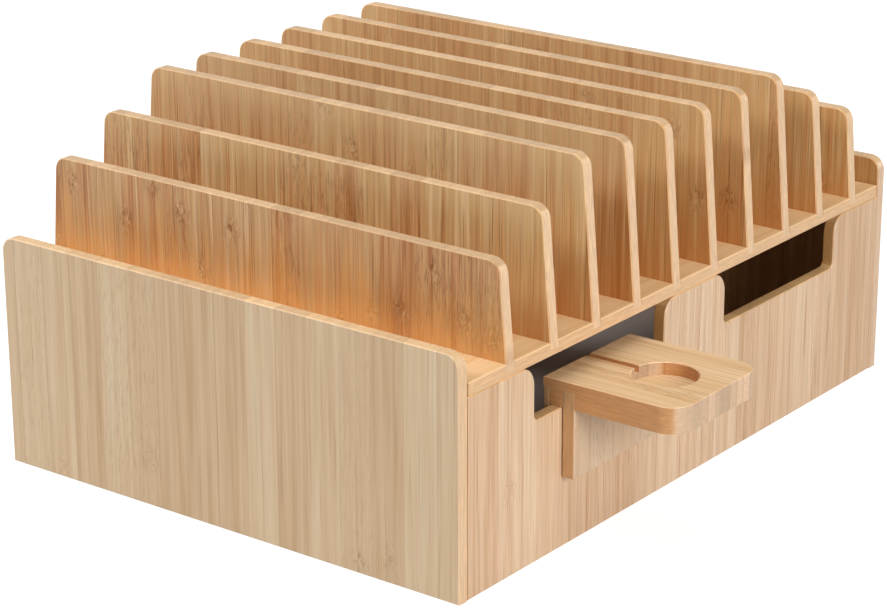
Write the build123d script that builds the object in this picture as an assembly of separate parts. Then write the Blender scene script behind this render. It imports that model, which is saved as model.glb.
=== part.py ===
"""Bamboo charging station organizer, in millimetres, +Z up.

A low box of glued bamboo boards carries a loose deck. Ten upright dividers stand in housings
across the deck and part it into bays for phones and tablets. Each side wall has two round-cornered
cut-outs through which the leads leave the box, and a small arm with a round pocket for a watch
charger hooks over the bottom edge of one of them.

The origin is the middle of the box's footprint, on the surface that it stands on. The front panel
faces -Y, and the wall that carries the watch arm is at +X.
"""
import math
import os

from build123d import *

# Box walls
box_width = 256.0
box_depth = 345.5
wall_board = 6.0
end_panel_height = 108.8
side_panel_height = 89.7
end_panel_corner_radius = 7.0

# Base board, flush under the walls, with a tongue that is held in a groove round their insides
base_board = 5.0
base_tongue = 2.5
base_groove_depth = 2.5
base_groove_clearance = 0.1

# Cut-outs in the side walls, one on each side of a land that lies a little behind the middle
middle_land = 49.9
middle_land_shift = 2.5
cutout_width = 98.0
cutout_depth = 25.3
cutout_lip_radius = 9.0
cutout_root_radius = 3.0

# Deck, and the two battens glued across its underside
deck_board = 6.0
deck_end_gap = 0.8
batten_width = 18.0
batten_height = 8.0
batten_inset = 8.0
batten_end_gap = 0.5

# Dividers, from the front one to the back one, spread evenly between the first and last bays
divider_board = 6.0
first_bay = 26.3
last_bay = 21.3
low_rise = 43.2
middle_rise = 58.0
tall_rise = 72.4
divider_rises = [low_rise, middle_rise] + [tall_rise] * 6 + [middle_rise, low_rise]
divider_lean_degrees = 4.8
divider_corner_radius = 6.5
divider_housing_depth = 3.0
divider_housing_clearance = 0.1

# Watch arm, with the two plates that hook it over the right-hand wall
arm_board = 12.0
arm_width = 65.0
arm_reach = 58.2
arm_corner_radius = 11.0
arm_front_gap = 19.5
hook_clearance = 0.5
outer_plate_board = 6.0
outer_plate_drop = 31.4
inner_plate_board = 3.0
inner_plate_drop = 24.0
plate_housing_depth = 7.8
plate_housing_clearance = 0.1

# Pocket for the watch charger, and the slot for its lead
pocket_radius = 14.5
pocket_depth = 5.8
pocket_reach = 30.4
pocket_rim_bevel = 0.4
lead_slot_width = 3.4
lead_slot_depth = 3.0

# Sanded edges: a small bevel round the box's boards, and a rounding on the arm, which is handled
edge_bevel = 0.5
arm_edge_radius = 0.5

# The distance that a cutter runs past the face it opens, and the smallest distance at which two
# places count as different
overrun = 2.0
same_place = 0.001

# Faces and heights that several pieces share
side_face = box_width / 2
end_face = box_depth / 2
inner_side = side_face - wall_board
inner_end = end_face - wall_board
tongue_bottom = base_board - base_tongue
deck_bottom = side_panel_height
deck_top = deck_bottom + deck_board
deck_end = inner_end - deck_end_gap
cutout_floor = side_panel_height - cutout_depth
middle_land_front = middle_land_shift - middle_land / 2
cutout_fronts = [middle_land_front - cutout_width, middle_land_front + middle_land]
first_divider = -inner_end + first_bay
last_divider = inner_end - last_bay - divider_board
divider_pitch = (last_divider - first_divider) / (len(divider_rises) - 1)
divider_fronts = [first_divider + i * divider_pitch for i in range(len(divider_rises))]

# Faces of the watch arm and of its plates
arm_front = cutout_fronts[0] + arm_front_gap
arm_back = arm_front + arm_width
arm_middle = (arm_front + arm_back) / 2
arm_bottom = cutout_floor
arm_top = arm_bottom + arm_board
arm_tip = side_face + arm_reach
outer_plate_face = side_face + hook_clearance
inner_plate_face = inner_side - hook_clearance
arm_root = inner_plate_face - inner_plate_board
plate_top = arm_bottom + plate_housing_depth
pocket_centre = side_face + pocket_reach


def block(low, high):
    """A plain block between two opposite corners."""
    size = [b - a for a, b in zip(low, high)]
    middle = [(a + b) / 2 for a, b in zip(low, high)]
    return Pos(*middle) * Box(*size)


def turn_corners(outline, corners, radius):
    """Rounds the given corners of a flat outline to one radius."""
    wanted = [Vector(*corner) for corner in corners]
    turned = [v for v in outline.vertices() if min((v.center() - w).length for w in wanted) < same_place]
    return fillet(turned, radius)


def base_panel():
    """The floor of the box: it fills the space between the walls, and its tongue enters their groove."""
    tongue_x = inner_side + base_groove_depth - base_groove_clearance
    tongue_y = inner_end + base_groove_depth - base_groove_clearance
    floor = block((-inner_side, -inner_end, 0), (inner_side, inner_end, base_board))
    return floor + block((-tongue_x, -tongue_y, tongue_bottom), (tongue_x, tongue_y, base_board))


def base_groove():
    """The cutter for the groove round the insides of the walls."""
    reach_x, reach_y = inner_side + base_groove_depth, inner_end + base_groove_depth
    bottom, top = tongue_bottom - base_groove_clearance, base_board + base_groove_clearance
    return block((-reach_x, -reach_y, bottom), (reach_x, reach_y, top))


def end_panel(rear_face):
    """The front or back wall, the full width of the box, with both top corners rounded."""
    top = [(side_face, end_panel_height), (-side_face, end_panel_height)]
    outline = make_face(Polyline((-side_face, 0), (side_face, 0), *top, close=True))
    outline = turn_corners(outline, top, end_panel_corner_radius)
    panel = extrude(Plane.XZ.offset(-rear_face) * outline, wall_board)
    panel = chamfer(panel.faces().filter_by(Axis.Y).edges(), edge_bevel)
    return panel - base_groove()


def side_panel(start):
    """A side wall between the end walls, with two cut-outs that open at its top edge."""
    lips, roots, corners = [], [], [(-inner_end, 0), (inner_end, 0), (inner_end, side_panel_height)]
    for front in reversed(cutout_fronts):
        back = front + cutout_width
        lips += [(back, side_panel_height), (front, side_panel_height)]
        roots += [(back, cutout_floor), (front, cutout_floor)]
        corners += [lips[-2], roots[-2], roots[-1], lips[-1]]
    corners.append((-inner_end, side_panel_height))
    outline = make_face(Polyline(*corners, close=True))
    outline = turn_corners(outline, lips, cutout_lip_radius)
    outline = turn_corners(outline, roots, cutout_root_radius)
    panel = extrude(Plane.YZ.offset(start) * outline, wall_board)
    edges = panel.faces().filter_by(Axis.X).edges()
    panel = chamfer([e for e in edges if inner_end - abs(e.center().Y) > same_place], edge_bevel)
    return panel - base_groove()


def deck_panel():
    """The loose deck: it rests on the side walls, and is housed across for every divider."""
    deck = block((-side_face, -deck_end, deck_bottom), (side_face, deck_end, deck_top))
    deck = chamfer(deck.edges(), edge_bevel)
    floor, slack = deck_top - divider_housing_depth, divider_housing_clearance / 2
    for front in divider_fronts:
        low = (-side_face - overrun, front - slack, floor)
        high = (side_face + overrun, front + divider_board + slack, deck_top + overrun)
        deck -= block(low, high)
    return deck


def deck_batten(front):
    """A batten across the underside of the deck, which keeps it flat and between the side walls."""
    reach = inner_side - batten_end_gap
    low = (-reach, front, deck_bottom - batten_height)
    batten = block(low, (reach, front + batten_width, deck_bottom))
    return chamfer(batten.faces().sort_by(Axis.Z)[0].edges(), edge_bevel)


def divider(front, rise):
    """An upright board that narrows towards its rounded top corners and stands in its housing."""
    foot, head = deck_top - divider_housing_depth, deck_top + rise
    head_reach = side_face - (head - foot) * math.tan(math.radians(divider_lean_degrees))
    top = [(head_reach, head), (-head_reach, head)]
    outline = make_face(Polyline((-side_face, foot), (side_face, foot), *top, close=True))
    outline = turn_corners(outline, top, divider_corner_radius)
    board = extrude(Plane.XZ.offset(-front - divider_board) * outline, divider_board)
    edges = board.faces().filter_by(Axis.Y).edges()
    eased = chamfer([e for e in edges if e.center().Z - foot > same_place], edge_bevel)
    # Below the deck's face the edges stay square, so that the foot fills its housing
    return eased + (board & block((-side_face, front, foot), (side_face, front + divider_board, deck_top)))


def arm_plate(root, thickness, drop):
    """A plate glued up into the arm that hangs down one face of the wall."""
    plate = block((root, arm_front, arm_bottom - drop), (root + thickness, arm_back, plate_top))
    return fillet([e for e in plate.edges() if plate_top - e.center().Z > same_place], arm_edge_radius)


def arm_panel():
    """The arm: housed below for its plates, with the charger's pocket and lead slot on top."""
    tips = [(arm_tip, arm_front), (arm_tip, arm_back)]
    outline = make_face(Polyline((arm_root, arm_front), *tips, (arm_root, arm_back), close=True))
    outline = turn_corners(outline, tips, arm_corner_radius)
    arm = extrude(Plane.XY.offset(arm_bottom) * outline, arm_board)
    arm = fillet(arm.faces().filter_by(Axis.Z).edges(), arm_edge_radius)

    slack = plate_housing_clearance / 2
    outer_end = outer_plate_face + outer_plate_board + slack
    for low_x, high_x in [(outer_plate_face - slack, outer_end), (arm_root - overrun, inner_plate_face + slack)]:
        low = (low_x, arm_front - overrun, arm_bottom - overrun)
        arm -= block(low, (high_x, arm_back + overrun, plate_top))

    pocket = Cylinder(pocket_radius, pocket_depth + overrun, align=(Align.CENTER, Align.CENTER, Align.MIN))
    arm -= Pos(pocket_centre, arm_middle, arm_top - pocket_depth) * pocket
    rings = [e for e in arm.edges().filter_by(GeomType.CIRCLE) if abs(e.radius - pocket_radius) < same_place]
    arm = chamfer(ShapeList(rings).sort_by(Axis.Z)[-1], pocket_rim_bevel)
    half_slot = lead_slot_width / 2
    low = (arm_root - overrun, arm_middle - half_slot, arm_top - lead_slot_depth)
    return arm - block(low, (pocket_centre, arm_middle + half_slot, arm_top + overrun))


pieces = {
    "front_panel": end_panel(-inner_end),
    "back_panel": end_panel(end_face),
    "left_side_panel": side_panel(-side_face),
    "right_side_panel": side_panel(inner_side),
    "base_panel": base_panel(),
    "deck_panel": deck_panel(),
    "deck_batten_front": deck_batten(-deck_end + batten_inset),
    "deck_batten_rear": deck_batten(deck_end - batten_inset - batten_width),
    "watch_arm_panel": arm_panel(),
    "watch_arm_outer_plate": arm_plate(outer_plate_face, outer_plate_board, outer_plate_drop),
    "watch_arm_inner_plate": arm_plate(arm_root, inner_plate_board, inner_plate_drop),
}
for number, (front, rise) in enumerate(zip(divider_fronts, divider_rises), start=1):
    pieces[f"divider_{number:02d}"] = divider(front, rise)

os.makedirs("parts", exist_ok=True)
for name, piece in pieces.items():
    export_step(piece, f"parts/{name}.step")
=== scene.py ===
"""A bamboo charging station organizer: its boards' finishes, and the studio that it stands in.

The file follows the box as it is put together: end walls, side walls, base, deck, dividers and the
watch arm, and then the floor, the lamps and the camera. Finishes are laid out in millimetres.
"""
import math

import bpy
from mathutils import Matrix, Vector

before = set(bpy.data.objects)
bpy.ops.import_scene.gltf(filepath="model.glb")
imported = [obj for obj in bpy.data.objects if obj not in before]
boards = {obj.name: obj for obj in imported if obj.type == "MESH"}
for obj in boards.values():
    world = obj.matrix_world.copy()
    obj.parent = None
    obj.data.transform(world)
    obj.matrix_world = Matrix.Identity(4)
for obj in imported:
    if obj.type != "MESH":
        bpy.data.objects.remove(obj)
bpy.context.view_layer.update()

# The front and back walls
# Each is one board of flat-pressed bamboo: upright strips glued edge to edge, sanded and given a
# thin satin lacquer. Its fibres run upright, and its top edge shows their ends.


class Finish:
    """A finish under construction: its nodes are added one by one and wired to what they take."""

    def __init__(self, owner):
        owner.use_nodes = True
        self.tree = owner.node_tree
        self.tree.nodes.clear()

    def add(self, kind, inputs, **settings):
        """Adds a node. An input is a number, a colour or another node's socket."""
        node = self.tree.nodes.new("ShaderNode" + kind)
        for key, value in settings.items():
            setattr(node, key, value)
        for key, value in inputs.items():
            if isinstance(value, bpy.types.NodeSocket):
                self.tree.links.new(value, node.inputs[key])
            else:
                node.inputs[key].default_value = value
        return node

    def calc(self, operation, a, b=0.0):
        """One sum on two numbers."""
        return self.add("Math", {0: a, 1: b}, operation=operation).outputs[0]

    def plus(self, start, value, share=1.0):
        """A start value and a share of another one."""
        return self.add("Math", {0: value, 1: share, 2: start}, operation="MULTIPLY_ADD").outputs[0]

    def times(self, a, b):
        """Two numbers multiplied."""
        return self.calc("MULTIPLY", a, b)

    def ease(self, value, low, high):
        """0 at low, 1 at high, and a smooth change between them."""
        inputs = {"Value": value, "From Min": low, "From Max": high}
        return self.add("MapRange", inputs, interpolation_type="SMOOTHSTEP").outputs[0]

    def blend(self, share, a, b):
        """A colour that goes from a to b as share goes from 0 to 1."""
        return self.add("Mix", {"Factor": share, 6: a, 7: b}, data_type="RGBA").outputs[2]

    def stain(self, colour, where, share, tone):
        """Lays a share of a tone over a colour, as far as where goes from 0 to 1."""
        return self.blend(self.times(where, share), colour, tone)

    def shade(self, colour, factor):
        """A colour made lighter or darker by a factor."""
        start = colour if isinstance(colour, bpy.types.NodeSocket) else colour[:3]
        return self.add("VectorMath", {0: start, "Scale": factor}, operation="SCALE").outputs[0]

    def point(self, x, y, z):
        """Three numbers as one place."""
        return self.add("CombineXYZ", {0: x, 1: y, 2: z}).outputs[0]

    def noise(self, places, sizes, detail=2.0):
        """Smooth noise from about -0.5 to 0.5, with features of the given sizes along each way."""
        spot = self.point(*(self.calc("DIVIDE", place, size) for place, size in zip(places, sizes)))
        inputs = {"Vector": spot, "Scale": 1.0, "Detail": detail, "Roughness": 0.55}
        return self.calc("SUBTRACT", self.add("TexNoise", inputs).outputs[0], 0.5)

    def chance(self, x, y):
        """Three numbers from 0 to 1, the same wherever x and y are the same."""
        draw = self.add("TexWhiteNoise", {"Vector": self.point(x, y, 0.0)}, noise_dimensions="3D")
        return self.add("SeparateXYZ", {0: draw.outputs["Color"]}).outputs

    def ramp(self, value, colours):
        """Picks a colour from an even row of them."""
        node = self.add("ValToRGB", {0: value})
        stops = node.color_ramp.elements
        while len(stops) < len(colours):
            stops.new(0.5)
        for i, colour in enumerate(colours):
            stops[i].position = i / (len(colours) - 1)
            stops[i].color = colour
        return node.outputs[0]

    def close(self, kind, shader):
        """Ends the finish at its output."""
        self.tree.links.new(shader, self.add(kind, {}).inputs["Surface"])


def tint(red, green, blue):
    """A colour as it is seen, from 0 to 255, turned into the light that it reflects."""
    shares = [value / 255 for value in (red, green, blue)]
    light = [c / 12.92 if c <= 0.04045 else ((c + 0.055) / 1.055) ** 2.4 for c in shares]
    return (*light, 1.0)


mm_per_metre = 1000.0

# The marks in the wood have these sizes in millimetres: along the fibres, across them and through
# the board. The swirls and waves have no third one: their 1 only sets neighbouring strips apart.
band_size = (130.0, 4.2, 9.0)
line_size = (60.0, 1.3, 3.0)
fibre_size = (38.0, 0.6, 0.8)
hair_size = (80.0, 0.95, 1.3)
stroke_size = (7.0, 0.8, 1.2)
patch_size = (9.0, 2.6, 3.0)
fleck_size = (3.6, 0.7, 1.2)
swirl_size = (5.0, 3.0, 1.0)
wave_size = (60.0, 9.0, 1.0)

# The lines on the long edges have a size along the fibres and one through the board. On the fibres'
# ends the grit has one across the strips and one through the board, and the bars only have the
# first. Here too, a 1 only sets neighbouring strips apart.
edge_line_size = (7.0, 0.9, 1.0)
grit_size = (1.8, 1.2, 1.0)
bar_size = (4.0, 1.0, 1.0)
bundles_per_mm = 1.15

# From one seed to the next the strips shift by a share of their width. A strip's noises lie a step
# away from its neighbour's, and the glue darkens it this far in from its edge.
board_shift_share = 0.37
strip_apart = 13.7
glue_reach = 0.5

# A growth mark reaches about mark_rise up and down its strip and mark_half_width to each side. Each
# such rise narrows it by mark_taper, over mark_taper_rises of them up and down. It lies off the
# strip's middle by up to half of mark_offset_share. The fibres swirl in it and waver everywhere.
mark_rise = 6.0
mark_half_width = 3.8
mark_taper = 1.5
mark_taper_rises = 1.5
mark_offset_share = 0.35
swirl_bend = 9.0
wave_bend = 1.6

fibre_brown = tint(142, 88, 44)
mark_brown = tint(128, 74, 34)
pale_fleck = tint(236, 208, 168)


class Bamboo(Finish):
    """Lacquered bamboo board, laid out along its fibres, across its strips and through the board.
    The order names the axes of these three, and marks the heights between which growth marks lie."""

    def __init__(self, name, order, strip, marks, seed):
        self.material = bpy.data.materials.new(name)
        super().__init__(self.material)
        place = self.add("TexCoord", {})
        spots = self.add("SeparateXYZ", {0: place.outputs["Object"]}).outputs
        facing = self.add("SeparateXYZ", {0: place.outputs["Normal"]}).outputs
        axes = ["XYZ".index(letter) for letter in order]
        self.along, self.across, self.through = (self.times(spots[a], mm_per_metre) for a in axes)
        faces = (self.calc("ABSOLUTE", facing[a]) for a in axes)
        self.end_face, self.edge_face, self.broad_face = faces
        self.cut_strips(strip, seed)
        self.grow_marks(strip, marks)

    def cut_strips(self, strip, seed):
        """Numbers the strips. Each gets its own luck, and a patch of every noise to itself."""
        count = self.plus(seed * board_shift_share, self.across, 1.0 / strip)
        row = self.calc("FLOOR", count)
        self.off_middle = self.calc("SUBTRACT", self.calc("FRACT", count), 0.5)
        self.luck = self.chance(row, seed)
        self.apart = self.times(row, strip_apart)
        self.deep = self.plus(self.apart, self.through)
        gap = self.times(self.calc("SUBTRACT", 0.5, self.calc("ABSOLUTE", self.off_middle)), strip)
        bond = self.chance(self.calc("ROUND", count), seed + 7.0)[0]
        self.glue = self.times(self.ease(gap, glue_reach, glue_reach / 10), bond)

    def grow_marks(self, strip, marks):
        """Where the cane's joint crossed a strip, its fibres swirl in a patch that narrows upwards."""
        first, last = marks
        height = self.plus(first, self.luck[1], last - first)
        rise = self.calc("DIVIDE", self.calc("SUBTRACT", self.along, height), mark_rise)
        shift = self.times(self.calc("SUBTRACT", self.luck[2], 0.5), mark_offset_share)
        level = self.calc("MAXIMUM", rise, -mark_taper_rises)
        level = self.calc("MINIMUM", level, mark_taper_rises)
        wide = self.plus(mark_half_width, level, -mark_taper)
        off = self.times(self.calc("SUBTRACT", self.off_middle, shift), strip)
        side = self.calc("DIVIDE", off, wide)
        far = self.plus(self.times(rise, rise), self.times(side, side))
        self.mark = self.calc("EXPONENT", self.times(far, -1.0))
        swirl = self.noise((self.along, self.across, self.apart), swirl_size)
        wave = self.noise((self.along, self.across, self.apart), wave_size)
        bent = self.plus(self.across, self.times(swirl, self.mark), swirl_bend)
        self.bent = self.plus(bent, wave, wave_bend)

    def streak(self, sizes, detail=1.0):
        """Noise that follows the bent fibres."""
        return self.noise((self.along, self.bent, self.deep), sizes, detail)

    def faces(self, tones, step=0.5, grain=1.0, swirls=0.6):
        """The broad faces: tones that differ by step between strips, bands, fibres and hairs as bold
        as grain says, and growth marks as dark as swirls says."""
        tone = self.plus(0.5, self.calc("SUBTRACT", self.luck[0], 0.5), step)
        tone = self.plus(tone, self.streak(band_size), 0.7 + 0.4 * grain)
        tone = self.plus(tone, self.streak(line_size), 0.5 * grain)
        colour = self.ramp(tone, tones)
        self.fibres = self.streak(fibre_size, 3.0)
        colour = self.shade(colour, self.plus(1.0, self.fibres, 0.4 * grain))
        self.hair = self.ease(self.streak(hair_size), 0.11, 0.23)
        colour = self.stain(colour, self.hair, 0.32 * grain, fibre_brown)

        stroke = self.ease(self.streak(stroke_size), 0.04, 0.16)
        figured = self.times(stroke, self.ease(self.luck[2], 0.6, 0.8))
        colour = self.stain(colour, figured, 0.4 * swirls, mark_brown)
        patch = self.ease(self.streak(patch_size), -0.12, 0.16)
        colour = self.stain(colour, self.times(patch, self.mark), 0.3 * swirls, mark_brown)
        fleck = self.streak(fleck_size, 2.0)
        dark = self.times(self.ease(fleck, 0.03, 0.09), self.mark)
        pale = self.times(self.ease(fleck, -0.05, -0.16), self.mark)
        colour = self.stain(colour, dark, 0.8 * swirls, mark_brown)
        return self.stain(colour, pale, 0.35 * swirls, pale_fleck)

    def edges(self, colour, edge):
        """The long edges, which are cut along the fibres."""
        line = self.noise((self.along, self.through, self.apart), edge_line_size)
        edge = self.shade(edge, self.plus(self.plus(1.0, self.fibres, 0.45), line, 0.45))
        return self.stain(colour, self.ease(self.edge_face, 0.6, 0.85), 0.9, edge)

    def ends(self, colour, end, bars):
        """The fibres' ends: tones that differ by bars between strips, and the dots of the bundles
        that are cut."""
        spot = self.point(self.along, self.across, self.through)
        dots = self.add("TexVoronoi", {"Vector": spot, "Scale": bundles_per_mm}).outputs["Distance"]
        grit = self.noise((self.across, self.through, self.apart), grit_size)
        band = self.noise((self.across, self.apart, 0.0), bar_size)
        cut = self.shade(end, self.plus(1.0 - bars / 2, self.luck[0], bars))
        cut = self.shade(cut, self.plus(self.plus(1.0, grit, 0.35), band, 0.4))
        cut = self.stain(cut, self.ease(dots, 0.34, 0.12), 0.2, fibre_brown)
        colour = self.blend(self.ease(self.end_face, 0.55, 0.8), colour, cut)
        return self.stain(colour, self.glue, 0.3, fibre_brown)

    def lacquer(self, colour):
        """Paints a highlight on the chamfered edges, and closes the finish with a thin satin coat."""
        # Painted highlight: faces that lie slanted between a broad face and an edge, the chamfers, are
        # made 12 % lighter.
        slanted = self.ease(self.broad_face, 0.95, 0.8)
        painted_edge_highlight = self.times(self.ease(self.broad_face, 0.3, 0.6), slanted)
        colour = self.shade(colour, self.plus(1.0, painted_edge_highlight, 0.12))
        rough = self.plus(0.5, self.fibres, 0.18)
        relief = self.plus(self.fibres, self.hair, -0.4)
        bump = self.add("Bump", {"Height": relief, "Strength": 0.22, "Distance": 0.0002}).outputs[0]
        coat = {"Base Color": colour, "Roughness": rough, "Specular IOR Level": 0.35, "Normal": bump}
        self.close("OutputMaterial", self.add("BsdfPrincipled", coat).outputs[0])


def complete(name, wood, colour, edge, end, bars=0.24):
    """Adds the edges and the fibres' ends to the faces' colour, and puts the wood on its board."""
    wood.lacquer(wood.ends(wood.edges(colour, edge), end, bars))
    boards[name].material_slots[0].material = wood.material


def dress(name, order, strip, marks, tones, edge, end, seed, bars=0.24, **look):
    """Gives a board its bamboo: its strips, the tones of its faces, long edges and fibres' ends."""
    wood = Bamboo(name + "_bamboo", order, strip, marks, seed)
    complete(name, wood, wood.faces(tones, **look), edge, end, bars)


upright_across = "ZXY"
wall_strip = 17.0
wall_marks = (-90, 190)
wall_tones = [tint(193, 157, 117), tint(208, 178, 142), tint(216, 189, 154), tint(223, 201, 169)]
wall_edge = tint(222, 187, 150)
wall_end = tint(214, 179, 136)
dress("front_panel", upright_across, wall_strip, wall_marks, wall_tones, wall_edge, wall_end,
      seed=3, grain=0.8, swirls=0.4)
back_tones = [tint(182, 128, 73), tint(196, 146, 90), tint(203, 157, 103), tint(211, 171, 120)]
back_edge = tint(238, 210, 182)
dress("back_panel", upright_across, wall_strip, wall_marks, back_tones, back_edge, wall_end,
      seed=4)

# The side walls
# Each is a board of the same upright strips, glued between the end walls. Two cut-outs with round
# corners are routed into its top edge, and their floors show the fibres' ends.
upright_lengthwise = "ZYX"
side_tones = [tint(197, 158, 121), tint(212, 178, 145), tint(219, 188, 156), tint(227, 201, 171)]
# The long edges show only in the cut-outs, and their brown is partly the wood's edge tone and partly
# painted shade: the same edges of the end walls are cream.
side_edge_and_painted_shade = tint(188, 138, 78)
side_end = tint(206, 166, 116)
side_marks = (-90, 250)
for seed, name in enumerate(["left_side_panel", "right_side_panel"], start=6):
    dress(name, upright_lengthwise, wall_strip, side_marks, side_tones, side_edge_and_painted_shade, side_end,
          seed=seed, grain=1.5, swirls=0.3)

# The base board
# Grey laminated fibreboard, matt and without grain. Its tongue is held in a groove round the
# walls, and only a little of it is seen, through the cut-outs.
mottle_per_metre = 900.0
base_material = bpy.data.materials.new("base_grey_board")
laminate = Finish(base_material)
place = laminate.add("TexCoord", {}).outputs["Object"]
mottle = laminate.add("TexNoise", {"Vector": place, "Scale": mottle_per_metre, "Detail": 3.0}).outputs[0]
grey = laminate.ramp(mottle, [tint(168, 158, 152), tint(180, 170, 164)])
coat = {"Base Color": grey, "Roughness": 0.6, "Specular IOR Level": 0.3}
laminate.close("OutputMaterial", laminate.add("BsdfPrincipled", coat).outputs[0])
boards["base_panel"].material_slots[0].material = base_material

# The deck and its battens
# The deck is one board with its fibres running from front to back, housed across for the dividers.
# The two battens are glued across its underside.
lengthwise = "YXZ"
crosswise = "XYZ"
deck_strip = 20.0
deck_tones = [tint(204, 158, 106), tint(224, 185, 135), tint(230, 195, 149), tint(239, 210, 169)]
deck_edge = tint(221, 182, 141)
deck_end = tint(214, 176, 128)
deck_marks = (-160, 160)
batten_marks = (-120, 120)
dress("deck_panel", lengthwise, deck_strip, deck_marks, deck_tones, deck_edge, deck_end,
      seed=15, grain=0.5)
for seed, name in enumerate(["deck_batten_front", "deck_batten_rear"], start=17):
    dress(name, crosswise, deck_strip, batten_marks, deck_tones, deck_edge, deck_end, seed=seed)

# The dividers
# Ten boards of upright strips, in three heights, glued into the deck's housings. They narrow
# towards the top, and their sanded edges are paler than their faces. Of their three lots, the front
# one has more growth marks and tones darkened as painted shade, and the last six are a warmer brown.
divider_strip = 15.5
divider_tones = [tint(182, 124, 68), tint(207, 156, 103), tint(207, 165, 108), tint(225, 189, 139)]
# The front divider's tones are darkened as painted shade, against the fuller light that falls on it.
front_painted_shade_tones = [tint(171, 114, 66), tint(196, 146, 100), tint(194, 153, 104), tint(213, 175, 134)]
rear_tones = [tint(180, 120, 64), tint(205, 151, 97), tint(205, 160, 102), tint(223, 184, 131)]
# Painted light and shade: the warm tones are laid low on the dividers as painted shade, and the cream
# ones over their tops as painted light.
divider_painted_shade = tint(199, 129, 60)
front_painted_shade = tint(232, 168, 92)
divider_painted_light = tint(222, 192, 148)
rear_painted_light = tint(212, 174, 126)
divider_edge = tint(227, 195, 160)
divider_end = tint(202, 168, 128)
first_divider_seed = 21
divider_foot = 92.0
divider_head = 168.0
painted_shade_share = 0.52
painted_light_share = 0.38

# The line between the painted shade and the painted light is uneven: it drifts up and down by up to
# about this height
drift_size = (70.0, 9.0, 20.0)
drift_height = 70.0


def paint_divider_light_and_shade(wood, colour, warm, cream):
    """Paints light over the top of a divider and warm shade low down, with an uneven line between."""
    middle = (divider_foot + divider_head) / 2
    height = wood.plus(wood.along, wood.streak(drift_size, 2.0), drift_height)
    colour = wood.stain(colour, wood.ease(height, middle, divider_foot), painted_shade_share, warm)
    return wood.stain(colour, wood.ease(height, middle, divider_head), painted_light_share, cream)


divider_marks = (60, 300)
front_marks = (90, 150)
front_lot = (front_painted_shade_tones, front_painted_shade, divider_painted_light, front_marks)
middle_lot = (divider_tones, divider_painted_shade, divider_painted_light, divider_marks)
rear_lot = (rear_tones, divider_painted_shade, rear_painted_light, divider_marks)
lots = [front_lot] + [middle_lot] * 3 + [rear_lot] * 6
for i, (tones, warm, cream, marks) in enumerate(lots):
    name = f"divider_{i + 1:02d}"
    seed = first_divider_seed + i
    wood = Bamboo(name + "_bamboo", upright_across, divider_strip, marks, seed)
    colour = paint_divider_light_and_shade(wood, wood.faces(tones, grain=2.2, swirls=1.0), warm, cream)
    complete(name, wood, colour, divider_edge, divider_end)

# The watch arm
# A thick board of narrow strips set on edge, with a pocket and a lead slot routed into its top.
# Two thin plates are glued up into it and hook it over the wall.
arm_strip = 5.4
arm_tones = [tint(217, 172, 119), tint(233, 197, 151), tint(242, 212, 172)]
arm_edge = tint(206, 148, 96)
arm_end = tint(205, 174, 144)
arm_marks = (-400, 60)
dress("watch_arm_panel", crosswise, arm_strip, arm_marks, arm_tones, arm_edge, arm_end,
      seed=31, bars=0.36)
plate_edge = tint(205, 158, 110)
plate_tones = [tint(205, 175, 144), tint(212, 186, 157), tint(217, 196, 171)]
plate_marks = (-60, 120)
for seed, name in enumerate(["watch_arm_outer_plate", "watch_arm_inner_plate"], start=33):
    dress(name, upright_lengthwise, wall_strip, plate_marks, plate_tones, plate_edge, wall_end,
          seed=seed, grain=0.6)

# The floor
# A wide pale sheet that the box stands on. To the camera it is white, and it keeps the soft
# shadow that the box throws on it.
floor_reach = 12.0
floor_mesh = bpy.data.meshes.new("floor")
corners = [(-1, -1), (1, -1), (1, 1), (-1, 1)]
floor_mesh.from_pydata([(x * floor_reach, y * floor_reach, 0) for x, y in corners], [], [range(4)])
floor = bpy.data.objects.new("floor", floor_mesh)
bpy.context.scene.collection.objects.link(floor)


def seen_directly(finish):
    """1 for light that comes to the camera itself or by way of something glossy or clear."""
    rays = finish.add("LightPath", {}).outputs
    seen = finish.calc("MAXIMUM", rays["Is Camera Ray"], rays["Is Glossy Ray"])
    return finish.calc("MAXIMUM", seen, rays["Is Transmission Ray"])


sheet_material = bpy.data.materials.new("pale_floor")
sheet = Finish(sheet_material)
matt = sheet.add("BsdfDiffuse", {"Color": (0.65, 0.65, 0.65, 1.0)}).outputs[0]
glow = sheet.add("Emission", {"Color": (1.0, 1.0, 1.0, 1.0), "Strength": 0.86}).outputs[0]
thin = sheet.add("BsdfDiffuse", {"Color": (0.3, 0.3, 0.3, 1.0)}).outputs[0]
shown = sheet.add("AddShader", {0: glow, 1: thin}).outputs[0]
both = sheet.add("MixShader", {0: seen_directly(sheet), 1: matt, 2: shown}).outputs[0]
sheet.close("OutputMaterial", both)
floor_mesh.materials.append(sheet_material)

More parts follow.
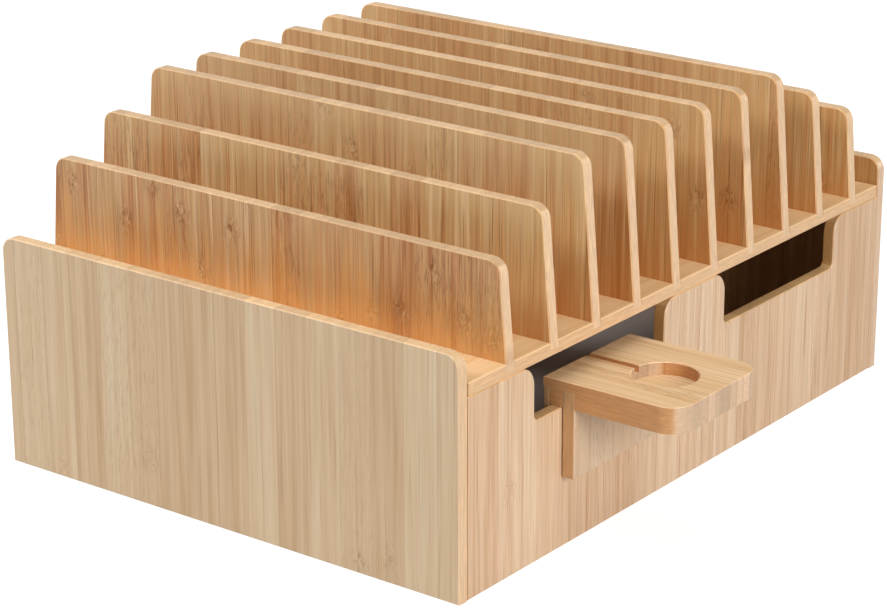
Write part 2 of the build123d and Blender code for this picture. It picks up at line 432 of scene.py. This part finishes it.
# The room's light
# A dim even room, white to the camera, with a soft lamp low on the right, a smaller one at the
# front left and a large one overhead.
room = bpy.data.worlds.new("room")
bpy.context.scene.world = room
air = Finish(room)
room_light = air.add("Background", {"Color": (0.96, 0.98, 1.0, 1.0), "Strength": 0.2}).outputs[0]
room_white = air.add("Background", {"Color": (1.0, 1.0, 1.0, 1.0), "Strength": 1.0}).outputs[0]
mixed = air.add("MixShader", {0: seen_directly(air), 1: room_light, 2: room_white}).outputs[0]
air.close("OutputWorld", mixed)

box_middle = Vector((0, 0, 0.07))


def lamp(name, place, size, level, colour):
    """A square soft lamp aimed at the box. At level 1 it alone shows a colour as it is written."""
    light = bpy.data.lights.new(name, "AREA")
    light.size = size
    light.color = colour
    away = Vector(place) - box_middle
    light.energy = level * math.pi ** 2 * away.length_squared
    hung = bpy.data.objects.new(name, light)
    hung.location = place
    hung.rotation_euler = away.to_track_quat("Z", "Y").to_euler()
    bpy.context.scene.collection.objects.link(hung)


lamp("right_lamp", place=(2.0, -0.56, 0.78), size=0.8, level=0.59, colour=(1.0, 0.975, 0.94))
lamp("left_lamp", place=(-1.95, -1.0, 1.14), size=0.4, level=0.6, colour=(0.96, 0.98, 1.0))
lamp("top_lamp", place=(0.1, -0.35, 2.15), size=1.6, level=0.54, colour=(1.0, 0.98, 0.96))

# The camera
# It stands to the right of the box's front and looks down on it through a long lens. It is rolled
# by a fifth of a degree, as the one that took the photograph was.
camera_place = Vector((0.75795, -1.00886, 0.50471))
camera_yaw = math.radians(37.32)
camera_pitch = math.radians(19.64)
camera_roll = math.radians(0.18)
lens = bpy.data.cameras.new("camera")
lens.sensor_width = 36.0
lens.lens = 114.8
lens.clip_start, lens.clip_end = 0.05, 60.0
camera = bpy.data.objects.new("camera", lens)
bpy.context.scene.collection.objects.link(camera)
forward = Vector((-math.sin(camera_yaw) * math.cos(camera_pitch),
                  math.cos(camera_yaw) * math.cos(camera_pitch), -math.sin(camera_pitch)))
right = Vector((math.cos(camera_yaw), math.sin(camera_yaw), 0))
down = forward.cross(right)
rolled_right = math.cos(camera_roll) * right + math.sin(camera_roll) * down
rolled_down = math.cos(camera_roll) * down - math.sin(camera_roll) * right
turn = Matrix((rolled_right, -rolled_down, -forward)).transposed()
camera.matrix_world = Matrix.Translation(camera_place) @ turn.to_4x4()
bpy.context.scene.camera = camera
bpy.context.scene.view_settings.view_transform = "Standard"
